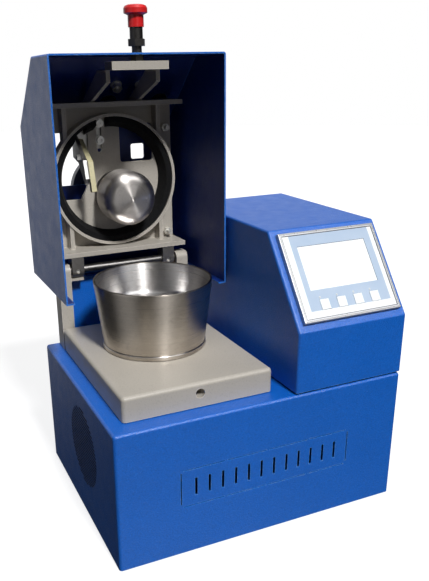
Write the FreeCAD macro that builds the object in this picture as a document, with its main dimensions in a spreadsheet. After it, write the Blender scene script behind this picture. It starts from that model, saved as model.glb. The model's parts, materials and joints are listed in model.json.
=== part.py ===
import FreeCAD, Part
import math
import os
import Sketcher

# Laboratory mortar grinder: a sheet-metal base with a drive, a turning mortar on a
# machine plate, a hinged hood that carries the pestle and scraper, and a control housing.
# Three drawing frames are used, each placed into the part's own frame at the end:
#   machine: x right, y back, z up, from the front left corner of the footprint
#   hood:    x right, y back (front is -y), z up the open hood, from the hinge axis
#   panel:   x right, y up the sloped face, z out of it, from the slope's lower edge

doc = FreeCAD.newDocument("mortar_grinder")
sheet = doc.addObject("Spreadsheet::Sheet", "dims")
nodes = []
V = FreeCAD.Vector


class Size:
    """A length that knows its number and the sheet formula that gives it."""

    def __init__(self, text, number):
        self.text, self.number = text, float(number)

    def __add__(self, other):
        return Size(f"({self.text} + {text_of(other)})", self.number + number_of(other))

    def __sub__(self, other):
        return Size(f"({self.text} - {text_of(other)})", self.number - number_of(other))

    def __mul__(self, other):
        return Size(f"({self.text} * {text_of(other)})", self.number * number_of(other))

    def __truediv__(self, other):
        return Size(f"({self.text} / {text_of(other)})", self.number / number_of(other))

    def __radd__(self, other):
        return as_size(other) + self

    def __rsub__(self, other):
        return as_size(other) - self

    def __rmul__(self, other):
        return as_size(other) * self


def number_of(value):
    return value.number if isinstance(value, Size) else float(value)


def text_of(value):
    return value.text if isinstance(value, Size) else f"({float(value):.6f})"


def as_size(value):
    return value if isinstance(value, Size) else Size(text_of(value), value)


def size(alias, value, note):
    """Writes one row of the sheet and returns the length that stands for its cell."""
    size.row += 1
    cell = f"B{size.row}"
    sheet.set(f"A{size.row}", note)
    sheet.set(cell, str(value))
    sheet.setAlias(cell, alias)
    return Size(f"dims.{alias}", value)


size.row = 0

# ---------------------------------------------------------------- driving dimensions
base_width = size("base_width", 392, "width of the base housing")
base_depth = size("base_depth", 300, "depth of the base housing")
base_top = size("base_top", 181, "height of the base housing's top above the floor")
foot_height = size("foot_height", 7, "height of the rubber feet")
skirt_gap = size("skirt_gap", 1.2, "gap between the base housing and the surface it stands on")
sheet_thick = size("sheet_thick", 2, "thickness of the housings' sheet metal")
edge_round = size("edge_round", 4, "outer rounding of the housings' edges")
axis_x = size("axis_x", 116.6, "middle of the machine plate, mortar and hood")
bowl_y = size("bowl_y", 164.9, "distance of the mortar's axis from the front")

plate_width = size("plate_width", 194.4, "width of the machine plate")
plate_front = size("plate_front", 23, "distance of the machine plate from the front")
plate_depth = size("plate_depth", 245.5, "depth of the machine plate")
plate_thick = size("plate_thick", 31, "thickness of the machine plate")
plate_gap = size("plate_gap", 1, "thickness of the gasket under the machine plate")

post_width = size("post_width", 17, "width of a hinge post")
post_depth = size("post_depth", 27, "depth of a hinge post")
hinge_y = size("hinge_y", 282.4, "distance of the hinge axis from the front")
hinge_rise = size("hinge_rise", 111.1, "height of the hinge axis above the base")
hinge_radius = size("hinge_radius", 6, "radius of the hinge shaft")
post_over = size("post_over", 9.8, "height of a hinge post above the hinge axis")

hood_width = size("hood_width", 225.6, "outer width of the hood")
hood_front = size("hood_front", 105.6, "distance of the hood's open edge in front of the hinge")
hood_back = size("hood_back", 79, "distance of the hood's back panel behind the hinge")
hood_top = size("hood_top", 280, "distance of the hood's top from the hinge")
hood_bottom = size("hood_bottom", 17, "distance of the hood's lower edge under the hinge")
hood_knee = size("hood_knee", 193.6, "height at which the back panel turns into the slope")
hood_crown = size("hood_crown", 21.9, "distance of the slope's upper edge in front of the hinge")
hood_lip = size("hood_lip", 11, "width of the strips along the hood's lower edge")
slope_bolt = size("slope_bolt", 4, "radius of the two bolts in the hood's slope")
plug_radius = size("plug_radius", 12, "radius of the two plugged holes in the hood's slope")
hood_sill = size("hood_sill", 18.5, "distance of the hood's rear bottom strip behind the hinge")
lean_angle = 1.0  # degrees that the open hood leans back

ring_radius = size("ring_radius", 90, "outer radius of the mortar ring")
ring_wall = size("ring_wall", 3.6, "wall of the mortar ring")
ring_front = size("ring_front", 9.5, "distance of the ring's rim behind the hinge plane")
carrier_front = size("carrier_front", 30, "distance of the carrier plate behind the hinge plane")
carrier_thick = size("carrier_thick", 6, "thickness of the welded plates in the hood")
carrier_half = size("carrier_half", 93, "half the width of the carrier plate")

bowl_radius = size("bowl_radius", 77, "outer radius of the mortar's rim")
bowl_rise = size("bowl_rise", 121.3, "height of the mortar's rim above the base")
bowl_floor = size("bowl_floor", 78, "height of the mortar's inner floor above the base")
bowl_foot = size("bowl_foot", 68.4, "radius of the mortar's foot ring")

pestle_radius = size("pestle_radius", 37, "radius of the pestle's head")
pestle_aside = size("pestle_aside", 9.5, "pestle axis to the right of the mortar axis")
pestle_low = size("pestle_low", 22, "pestle axis nearer to the hinge than the mortar axis")
pestle_reach = size("pestle_reach", 30, "pestle face in front of the hinge plane")

control_left = size("control_left", 234.4, "left side of the control housing")
control_rise = size("control_rise", 80, "height of the control housing's upright front")
slope_run = size("slope_run", 79, "depth of the sloped face")
slope_rise = size("slope_rise", 107, "height of the sloped face")
seam = size("seam", 2.7, "gap between the base and the control housing")

panel_width = size("panel_width", 141, "width of the touch panel")
panel_height = size("panel_height", 116, "height of the touch panel")
panel_low = size("panel_low", 9.3, "touch panel above the slope's lower edge")
panel_proud = size("panel_proud", 6.2, "height of the touch panel above the slope")
key_width = size("key_width", 12.6, "width of a function key")
key_height = size("key_height", 13.3, "height of a function key")
key_pitch = size("key_pitch", 24.4, "distance from one function key to the next")

tooth_module = size("tooth_module", 2.5, "module of the gears")
gear_teeth, pinion_teeth, key_count = 48, 16, 4
gear_low = size("gear_low", 68, "underside of the driven gear above the floor")
gear_width = size("gear_width", 14, "face width of the driven gear")

vent_radius = size("vent_radius", 54, "radius of the fan grille")
vent_y = size("vent_y", 128, "distance of the fan grille's centre from the front")
vent_z = size("vent_z", 102, "height of the fan grille's centre")
vent_pitch = size("vent_pitch", 4.7, "distance from one grille slot to the next")

latch_reach = size("latch_reach", 92.7, "plunger axis in front of the hinge plane")
latch_height = size("latch_height", 266, "middle of the latch plate above the hinge")
latch_thick = size("latch_thick", 9.4, "thickness of the latch plate")
wheel_radius = size("wheel_radius", 50, "radius of the pressure handwheel")
wheel_back = size("wheel_back", 104, "outer face of the handwheel behind the hinge plane")

bearing_outer = size("bearing_outer", 34, "outer radius of the bearing housing")
bearing_race = size("bearing_race", 27.5, "outer radius of the drive bearings")
bearing_width = size("bearing_width", 14, "width of a drive bearing")
shaft_radius = size("shaft_radius", 15, "radius of the drive shaft")
well_radius = size("well_radius", 52, "radius of the well in the machine plate")
well_depth = size("well_depth", 13, "depth of the well in the machine plate")
latch_bore = size("latch_bore", 6, "radius of the bore that takes the latch plunger")
latch_depth = size("latch_depth", 24, "depth of the bore that takes the latch plunger")
lug_radius = size("lug_radius", 10.5, "radius of the hinge lugs")
lug_width = size("lug_width", 17, "width of a hinge lug")
lug_gap = size("lug_gap", 3.4, "gap between a hinge lug and its post")
cross_low = size("cross_low", 20, "underside of the lower cross plate above the hinge")
cross_high = size("cross_high", 217.2, "underside of the upper cross plate above the hinge")
cross_front = size("cross_front", 12, "front edge of the cross plates in front of the hinge plane")
cross_half = size("cross_half", 94.5, "half the width of the cross plates")
rib_place = size("rib_place", 64.6, "inner face of a rib from the hood's middle")
rib_thick = size("rib_thick", 5.5, "thickness of a rib")
latch_half = size("latch_half", 36, "half the width of the latch plate")
plunger_radius = size("plunger_radius", 4.9, "radius of the latch plunger's pin")
slot_x = size("slot_x", 102.3, "scraper slot's middle")
slot_low = size("slot_low", 155.1, "lower end of the scraper slot above the hinge")
slot_high = size("slot_high", 201, "upper end of the scraper slot above the hinge")
slot_width = size("slot_width", 7, "width of the scraper slot")
screw_low = size("screw_low", 172, "lower scraper screw above the hinge")
screw_high = size("screw_high", 194.8, "upper scraper screw above the hinge")
blade_left = size("blade_left", 71.2, "left face of the scraper blade")
blade_thick = size("blade_thick", 7, "thickness of the scraper blade")
stem_radius = size("stem_radius", 12, "radius of the pestle's shaft")
sleeve_radius = size("sleeve_radius", 24, "outer radius of the pestle's sliding sleeve")
sleeve_bore = size("sleeve_bore", 19, "inner radius of the pestle's sliding sleeve")
inlet_left = size("inlet_left", 320, "left side of the mains inlet opening")
inlet_width = size("inlet_width", 28, "width of the mains inlet opening")
inlet_low = size("inlet_low", 40, "underside of the mains inlet opening")
inlet_height = size("inlet_height", 48, "height of the mains inlet opening")
stencil_left = size("stencil_left", 80.2, "left side of the stencilled frame")
stencil_width = size("stencil_width", 234.6, "width of the stencilled frame")
stencil_low = size("stencil_low", 66.5, "underside of the stencilled frame")
stencil_height = size("stencil_height", 49.6, "height of the stencilled frame")
line_half = size("line_half", 0.7, "half the width of the stencilled frame line")

# places that follow from the driving dimensions
center_x = base_width / 2
plate_top = base_top + plate_gap + plate_thick
hinge_z = base_top + hinge_rise
ring_height = hinge_y - bowl_y
pestle_x = axis_x + pestle_aside
pestle_height = ring_height - pestle_low
hood_left = axis_x - hood_width / 2
hood_right = axis_x + hood_width / 2
carrier_back = carrier_front + carrier_thick
inner_back = hood_back - sheet_thick
lean = math.radians(lean_angle)
wheel_top = number_of(pestle_height + wheel_radius)
rear_reach = number_of(wheel_back) * math.cos(lean) + wheel_top * math.sin(lean)
overall_depth = hinge_y + rear_reach
center_y = overall_depth / 2
slope_angle = math.degrees(math.atan2(slope_rise.number, slope_run.number))
hood_run, hood_rise = hood_back + hood_crown, hood_top - hood_knee
hood_slope = math.atan2(hood_rise.number, hood_run.number)
plug_spots = [(121.7, 224.5), (197.8, 224.5)]  # x and height of the plugs on the slope
bolt_spots = [(126, 246), (161, 246)]  # x and height of the bolts on the slope
latch_z = hinge_z - latch_reach
wall_top = hinge_z - hood_bottom + 0.6
panel_left = (control_left + base_width - panel_width) / 2
rocker_rest = -7.0  # degrees that the mains switch is tipped at rest


# ---------------------------------------------------------------- drawing helpers
def bind(thing, prop, value):
    thing.setExpression(prop, text_of(value))


def place(thing, x, y, z, rotation=None):
    if rotation is not None:
        thing.Placement = FreeCAD.Placement(V(0, 0, 0), rotation)
    for axis, value in zip("xyz", (x, y, z)):
        bind(thing, f"Placement.Base.{axis}", value)


def block(x0, x1, y0, y1, z0, z1):
    """A box from its two corners."""
    thing = doc.addObject("Part::Box", "block")
    for prop, low, high in (("Length", x0, x1), ("Width", y0, y1), ("Height", z0, z1)):
        bind(thing, prop, as_size(high) - low)
    place(thing, x0, y0, z0)
    return thing


TURNS = {
    "x": FreeCAD.Rotation(V(0, 1, 0), 90),
    "y": FreeCAD.Rotation(V(1, 0, 0), -90),
    "z": FreeCAD.Rotation(),
}


def rod(axis, start, end, across, radius):
    """A cylinder along an axis; across is its centre on the other two axes, in x, y, z order."""
    thing = doc.addObject("Part::Cylinder", "rod")
    bind(thing, "Radius", radius)
    bind(thing, "Height", as_size(end) - start)
    centre = list(across)
    centre.insert("xyz".index(axis), start)
    place(thing, *centre, rotation=TURNS[axis])
    return thing


def hexagon(axis, start, end, across, flats):
    """A hexagonal bar along an axis, with the given width across its flats."""
    thing = doc.addObject("Part::Prism", "hexagon")
    thing.Polygon = 6
    bind(thing, "Circumradius", as_size(flats) / math.sqrt(3))
    bind(thing, "Height", as_size(end) - start)
    centre = list(across)
    centre.insert("xyz".index(axis), start)
    place(thing, *centre, rotation=TURNS[axis])
    return thing


def join(*things):
    thing = doc.addObject("Part::MultiFuse", "join")
    thing.Shapes = list(things)
    return thing


def cut(base, *tools):
    thing = doc.addObject("Part::Cut", "cut")
    thing.Base = base
    thing.Tool = tools[0] if len(tools) == 1 else join(*tools)
    return thing


def apart(*things):
    """Separate solids kept together in one sub-part."""
    thing = doc.addObject("Part::Compound", "apart")
    thing.Links = list(things)
    return thing


def tube(axis, start, end, across, outer, inner):
    bore = rod(axis, as_size(start) - 1, as_size(end) + 1, across, inner)
    return cut(rod(axis, start, end, across, outer), bore)


def rounded(thing, radius, wanted):
    """Rounds the edges of a solid for which wanted(edge) is true."""
    doc.recompute()
    fillet = doc.addObject("Part::Fillet", "rounded")
    fillet.Base = thing
    picked = [i + 1 for i, edge in enumerate(thing.Shape.Edges) if wanted(edge)]
    fillet.Edges = [(i, number_of(radius), number_of(radius)) for i in picked]
    return fillet


def along(edge, axis):
    """True for a straight edge that runs along an axis."""
    if edge.Curve.TypeId != "Part::GeomLine":
        return False
    return abs(abs(getattr(edge.Curve.Direction, axis)) - 1) < 1e-6


def new_body(name):
    return doc.addObject("PartDesign::Body", name)


def new_sketch(body, role, shift=0):
    """A sketch on one of the body's own origin planes, shifted along the plane's normal."""
    sketch = body.newObject("Sketcher::SketchObject", "sketch")
    plane = [f for f in body.Origin.OriginFeatures if f.Role == role][0]
    sketch.AttachmentSupport = (plane, [""])
    sketch.MapMode = "FlatFace"
    bind(sketch, "AttachmentOffset.Base.z", shift)
    return sketch


def pin_point(sketch, geometry, end, x, y):
    """Ties a point of the sketch to sheet-driven coordinates."""
    for kind, value in (("DistanceX", x), ("DistanceY", y)):
        new = Sketcher.Constraint(kind, -1, 1, geometry, end, number_of(value))
        index = sketch.addConstraint(new)
        sketch.setExpression(f"Constraints[{index}]", text_of(value))


def outline(sketch, points):
    """A closed outline through the given points."""
    first = sketch.GeometryCount
    ends = [V(number_of(x), number_of(y), 0) for x, y in points]
    for a, b in zip(ends, ends[1:] + ends[:1]):
        sketch.addGeometry(Part.LineSegment(a, b), False)
    count = len(points)
    for i in range(count):
        following = first + (i + 1) % count
        sketch.addConstraint(Sketcher.Constraint("Coincident", first + i, 2, following, 1))
    for i, (x, y) in enumerate(points):
        pin_point(sketch, first + i, 1, x, y)


def rectangle(sketch, x0, x1, y0, y1):
    outline(sketch, [(x0, y0), (x1, y0), (x1, y1), (x0, y1)])


def circle(sketch, x, y, radius):
    middle = V(number_of(x), number_of(y), 0)
    index = sketch.addGeometry(Part.Circle(middle, V(0, 0, 1), number_of(radius)), False)
    pin_point(sketch, index, 3, x, y)
    tie = sketch.addConstraint(Sketcher.Constraint("Radius", index, number_of(radius)))
    sketch.setExpression(f"Constraints[{tie}]", text_of(radius))


def pad(body, sketch, length, backward=False):
    feature = body.newObject("PartDesign::Pad", "pad")
    feature.Profile = sketch
    feature.Reversed = backward
    bind(feature, "Length", length)
    sketch.Visibility = False
    return feature


def pocket(body, sketch, length, both=False, backward=False):
    """Cuts a sketch out of the body and makes sure that material has gone."""
    doc.recompute()
    before = body.Shape.Volume
    feature = body.newObject("PartDesign::Pocket", "pocket")
    feature.Profile = sketch
    feature.Midplane = both
    feature.Reversed = backward
    bind(feature, "Length", length)
    doc.recompute()
    if not body.Shape.Volume < before - 1e-3:
        raise RuntimeError(f"a pocket in {body.Label} cuts nothing")
    return feature


def turned(name, points, axis, x, across):
    """A turned solid from its half section of (radius, place along the axis).

    The axis runs along y or z, at x and at the given place on the remaining axis.
    """
    body = new_body(name)
    if axis == "z":
        sketch = new_sketch(body, "XZ_Plane", 0 - as_size(across))
    else:
        sketch = new_sketch(body, "XY_Plane", across)
    bind(sketch, "AttachmentOffset.Base.x", x)
    outline(sketch, points)
    feature = body.newObject("PartDesign::Revolution", "turned")
    feature.Profile = sketch
    feature.ReferenceAxis = (sketch, ["V_Axis"])
    feature.Angle = 360
    return body


def round_edges(body, radius, wanted):
    """Adds a fillet to a body, on the edges for which wanted(edge) is true."""
    doc.recompute()
    base = body.Tip
    names = [f"Edge{i + 1}" for i, edge in enumerate(base.Shape.Edges) if wanted(edge)]
    feature = body.newObject("PartDesign::Fillet", "rounding")
    feature.Base = (base, names)
    bind(feature, "Radius", radius)
    return feature


FRAMES = {
    "machine": (0 - center_x, 0 - center_y, as_size(0), FreeCAD.Rotation()),
    "hood": (0 - center_x, hinge_y - center_y, hinge_z, FreeCAD.Rotation(V(1, 0, 0), -lean_angle)),
    "panel": (
        0 - center_x, 0 - center_y, base_top + control_rise,
        FreeCAD.Rotation(V(1, 0, 0), slope_angle),
    ),
    "rocker": (
        0 - center_x, base_depth - 3 - center_y, inlet_low + 36,
        FreeCAD.Rotation(V(1, 0, 0), rocker_rest),
    ),
}


def node(name, thing, frame="machine"):
    """Names a finished sub-part and places it from its drawing frame."""
    if thing.TypeId in ("Part::Box", "Part::Cylinder"):
        thing = apart(thing)
    thing.Label = name
    x, y, z, rotation = FRAMES[frame]
    place(thing, x, y, z, rotation=rotation)
    nodes.append(thing)
    return thing


def at_corner(edge, x=None, y=None, z=None, slack=0.01):
    """True if the middle of an edge lies at the coordinates that are given."""
    box = edge.BoundBox
    middle = {"x": (box.XMin + box.XMax) / 2, "y": (box.YMin + box.YMax) / 2}
    middle["z"] = (box.ZMin + box.ZMax) / 2
    wanted = {"x": x, "y": y, "z": z}
    return all(abs(middle[k] - number_of(v)) < slack for k, v in wanted.items() if v is not None)


def bend_share(run, rise):
    """How far a bend of a sheet's inner face moves along the first side, per unit of thickness."""
    run, rise = number_of(run), number_of(rise)
    return (math.hypot(run, rise) - run) / rise


# ---------------------------------------------------------------- base
def broken(length, bridges):
    """Stretches of a cut line of the given length, with small bridges left standing."""
    bridge = 3.0
    step = (number_of(length) - bridge) / (bridges + 1)
    return [(bridge + step * i, step * (i + 1)) for i in range(bridges + 1)]


def make_base():
    inner_top = base_top - sheet_thick
    wall = sheet_thick
    body = new_body("base_shell")
    plan = new_sketch(body, "XY_Plane", skirt_gap)
    rectangle(plan, 0, base_width, 0, base_depth)
    pad(body, plan, base_top - skirt_gap)

    def outer_edge(edge):
        return along(edge, "z") or edge.BoundBox.ZMin > base_top.number - 0.01

    round_edges(body, edge_round, outer_edge)
    hollow = new_sketch(body, "XY_Plane", skirt_gap)
    rectangle(hollow, wall, base_width - wall, wall, base_depth - wall)
    pocket(body, hollow, inner_top - skirt_gap, backward=True)

    # fan grille: level slots inside a circle, through the left wall
    grille = new_sketch(body, "YZ_Plane")
    slot_half = 1.35
    rows = int(vent_radius.number / vent_pitch.number)
    for row in range(-rows, rows + 1):
        rise = abs(row) * vent_pitch.number + slot_half
        share = math.sqrt(1 - (rise / vent_radius.number) ** 2)
        half = vent_radius * share
        middle = vent_z + vent_pitch * row
        rectangle(grille, vent_y - half, vent_y + half, middle - slot_half, middle + slot_half)
    pocket(body, grille, wall * 4, both=True)

    # openings in the top for the bearing housing and the control cables
    top = new_sketch(body, "XY_Plane", inner_top - 1)
    circle(top, axis_x, bowl_y, bearing_outer + 0.5)
    middle = (control_left + base_width) / 2
    rectangle(top, middle - 50, middle + 50, bowl_y - 30, bowl_y + 30)
    pocket(body, top, wall + 2, backward=True)

    rear = new_sketch(body, "XZ_Plane", 0 - base_depth)
    rectangle(rear, inlet_left, inlet_left + inlet_width, inlet_low, inlet_low + inlet_height)
    pocket(body, rear, wall * 4, both=True)

    # plain stencil on the front: a broken frame line round a row of oblong slots
    front = new_sketch(body, "XZ_Plane")
    left, right = stencil_left, stencil_left + stencil_width
    low, high = stencil_low, stencil_low + stencil_height
    for z in (low, high):
        for start, end in broken(stencil_width, 3):
            rectangle(front, left + start, left + end, z - line_half, z + line_half)
    for x in (left, right):
        for start, end in broken(stencil_height, 0):
            rectangle(front, x - line_half, x + line_half, low + start, low + end)
    bars, margin, bar = 12, 18, 3.2
    pitch = (stencil_width - 2 * margin - bar) / (bars - 1)
    for i in range(bars):
        x = left + margin + pitch * i
        rectangle(front, x, x + bar, low + 13, high - 13)
    pocket(body, front, wall * 4, both=True)
    node("base_housing", body)


def make_floor():
    """Bottom sheet, rubber feet and their screws."""
    inset, foot_radius, screw_radius = 26, 14, 2.5
    low, high = foot_height, foot_height + sheet_thick
    near = sheet_thick + 0.3
    plate = block(near, base_width - near, near, base_depth - near, low, high)
    spots = [(x, y) for x in (inset, base_width - inset) for y in (inset, base_depth - inset)]
    holes = [rod("z", low - 1, high + 1, spot, screw_radius) for spot in spots]
    node("base_floor_plate", cut(plate, *holes))
    feet = [
        cut(rod("z", 0, low, spot, foot_radius), rod("z", 1, low + 1, spot, screw_radius))
        for spot in spots
    ]
    node("rubber_feet", apart(*feet))
    screws = [
        join(rod("z", 1, high + 1, spot, screw_radius), rod("z", high, high + 3, spot, 4.5))
        for spot in spots
    ]
    node("foot_screws", apart(*screws))


def make_plate():
    """Machine plate with the drive's well and the bore for the latch plunger."""
    left, right = axis_x - plate_width / 2, axis_x + plate_width / 2
    back = plate_front + plate_depth
    low = base_top + plate_gap
    body = new_body("plate_body")
    plan = new_sketch(body, "XY_Plane", low)
    rectangle(plan, left, right, plate_front, back)
    pad(body, plan, plate_thick)
    round_edges(body, 5, lambda e: along(e, "z") or at_corner(e, z=plate_top))
    well = new_sketch(body, "XY_Plane", plate_top)
    circle(well, axis_x, bowl_y, well_radius)
    pocket(body, well, well_depth)
    bore = new_sketch(body, "XY_Plane", plate_top)
    circle(bore, axis_x, bowl_y, bearing_outer + 0.2)
    pocket(body, bore, plate_thick + 2)
    latch = new_sketch(body, "XZ_Plane", 0 - plate_front)
    circle(latch, axis_x, latch_z, latch_bore)
    pocket(body, latch, latch_depth)
    node("machine_plate", body)

    seal = block(left + 4, right - 4, plate_front + 4, back - 4, base_top, low)
    bore = rod("z", base_top - 1, low + 1, (axis_x, bowl_y), bearing_outer + 0.5)
    node("plate_gasket", cut(seal, bore))


def make_posts():
    """Hinge posts with welded stops under the hood's hinge lugs, and their bushes."""
    front, back = hinge_y - post_depth / 2, hinge_y + post_depth / 2
    top = hinge_z + post_over
    bush_radius = hinge_radius + 2
    posts, bushes = [], []
    tab_top = hinge_z - lug_radius - 0.5
    for side in (-1, 1):
        outer = axis_x + plate_width * side / 2
        inner = outer - post_width * side
        tip = inner - (lug_width + lug_gap) * side
        x0, x1 = (outer, inner) if side < 0 else (inner, outer)
        bar = block(x0, x1, front, back, base_top, top)
        bar = rounded(bar, 8.5, lambda e: along(e, "x") and at_corner(e, z=top))
        s0, s1 = (inner - 1, tip) if side < 0 else (tip, inner + 1)
        stop = block(s0, s1, hinge_y - 4, back, tab_top - 4, tab_top)
        seat = rod("x", x0 - 1, x1 + 1, (hinge_y, hinge_z), bush_radius)
        posts.append(join(cut(bar, seat), stop))
        bushes.append(tube("x", x0, x1, (hinge_y, hinge_z), bush_radius, hinge_radius + 0.03))
    node("hinge_posts", apart(*posts))
    node("post_bushes", apart(*bushes))

    # bent sheet behind the posts that closes the grinding space towards the back
    front = back + 0.1
    inset = post_width + 2
    wall = block(
        axis_x - plate_width / 2 + 1, axis_x + plate_width / 2 - 1,
        front, front + sheet_thick, base_top, wall_top,
    )
    foot = block(
        axis_x - plate_width / 2 + inset, axis_x + plate_width / 2 - inset,
        front - 14, front + 1, base_top, base_top + sheet_thick,
    )
    node("rear_wall", join(wall, foot))


# ---------------------------------------------------------------- control housing
def make_control():
    wall = sheet_thick
    low = base_top + seam
    knee = base_top + control_rise
    top = knee + slope_rise
    body = new_body("control_shell")
    profile = new_sketch(body, "YZ_Plane", control_left)
    outline(profile, [(0, low), (0, knee), (slope_run, top), (base_depth, top), (base_depth, low)])
    pad(body, profile, base_width - control_left)
    round_edges(body, edge_round - 1, lambda e: e.BoundBox.ZMax > low.number + 0.01)
    hollow = new_sketch(body, "YZ_Plane", control_left + wall)
    outline(hollow, [
        (wall, low - 1),
        (wall, knee - wall * bend_share(slope_rise, slope_run)),
        (slope_run + wall * bend_share(slope_run, slope_rise), top - wall),
        (base_depth - wall, top - wall),
        (base_depth - wall, low - 1),
    ])
    pocket(body, hollow, base_width - control_left - wall * 2, backward=True)
    edge, angle = 4.8, math.radians(slope_angle)
    window = block(
        panel_left + edge, panel_left + panel_width - edge,
        panel_low + edge, panel_low + panel_height - edge, -8, 8,
    )
    along_slope, across, into = math.cos(angle), math.sin(angle), 8
    place(
        window, panel_left + edge,
        (panel_low + edge) * along_slope + into * across,
        knee + (panel_low + edge) * across - into * along_slope,
        FRAMES["panel"][3],
    )
    node("control_housing", cut(body, window))

    left, right, inset = control_left + 3, base_width - 3, 3
    seal = block(left, right, inset, base_depth - inset, base_top, low)
    node("seam_gasket", cut(seal, block(left + 9, right - 9, 12, base_depth - 12, base_top - 1, low + 1)))


def make_panel():
    """Touch panel on the slope: gasket, frame, front, screen, four keys and the case behind."""
    left, right = panel_left, panel_left + panel_width
    low, high = panel_low, panel_low + panel_height
    border, face, key_top = 4, panel_proud - 0.6, panel_proud + 0.1

    def plate(inset, n0, n1):
        return block(left + inset, right - inset, low + inset, high - inset, n0, n1)

    node("panel_gasket", cut(plate(0.6, 0, 0.8), plate(border + 0.8, -1, 2)), "panel")
    frame = rounded(plate(0, 0.8, panel_proud), 1.2, lambda e: at_corner(e, z=panel_proud))
    node("touch_bezel", cut(frame, plate(border, -1, 8)), "panel")
    case = cut(plate(5, -38, 2), plate(8, -36, 0))
    node("panel_rear_case", case, "panel")

    screen_left, screen_low = left + 21.3, low + 39.4
    screen_width, screen_height = 98.6, 56.7

    def screen(gap, n0, n1):
        x0, s0 = screen_left - gap, screen_low - gap
        return block(x0, x0 + screen_width + 2 * gap, s0, s0 + screen_height + 2 * gap, n0, n1)

    keys_left, keys_low = left + 29.1, low + 13.6
    front = plate(border + 0.1, 2, face)
    slots = []
    for i in range(key_count):
        x0 = keys_left + key_pitch * i
        slots.append(block(
            x0 - 0.25, x0 + key_width + 0.25, keys_low - 0.25, keys_low + key_height + 0.25, 1, 8,
        ))
        key = block(x0, x0 + key_width, keys_low, keys_low + key_height, face - 1.8, key_top)
        key = rounded(key, 0.6, lambda e: at_corner(e, z=key_top))
        node(f"function_key_{i + 1}", key, "panel")
    node("panel_front", cut(front, screen(0.15, 1, 8), *slots), "panel")
    node("touch_screen", screen(0, 2, face - 0.3), "panel")


# ---------------------------------------------------------------- drive
def gear(name, teeth, x, y, low, width, bore, first):
    """A spur gear with straight-flanked teeth; first is the angle of its first tooth."""
    addendum, dedendum, half = 0.85, 1.25, 0.66
    pitch_radius = tooth_module * teeth / 2
    tip, root = pitch_radius + tooth_module * addendum, pitch_radius - tooth_module * dedendum
    lean_in = math.tan(math.radians(20))
    body = new_body(name)
    disc = new_sketch(body, "XY_Plane")
    circle(disc, 0, 0, root)
    pad(body, disc, width)
    tooth = new_sketch(body, "XY_Plane")
    tip_half = tooth_module * (half - addendum * lean_in)
    root_half = tooth_module * (half + dedendum * lean_in)
    inside = root - tooth_module / 2
    outline(tooth, [
        (inside, 0 - root_half), (root, 0 - root_half), (tip, 0 - tip_half),
        (tip, tip_half), (root, root_half), (inside, root_half),
    ])
    toothed = pad(body, tooth, width)
    doc.recompute()
    ring = body.newObject("PartDesign::PolarPattern", "teeth")
    ring.Originals = [toothed]
    ring.Axis = (disc, ["N_Axis"])
    ring.Angle = 360
    ring.Occurrences = teeth
    body.Tip = ring
    hole = new_sketch(body, "XY_Plane", width)
    circle(hole, 0, 0, bore)
    pocket(body, hole, width + 1)
    place(body, x, y, low, FreeCAD.Rotation(V(0, 0, 1), first))
    return body


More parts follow.
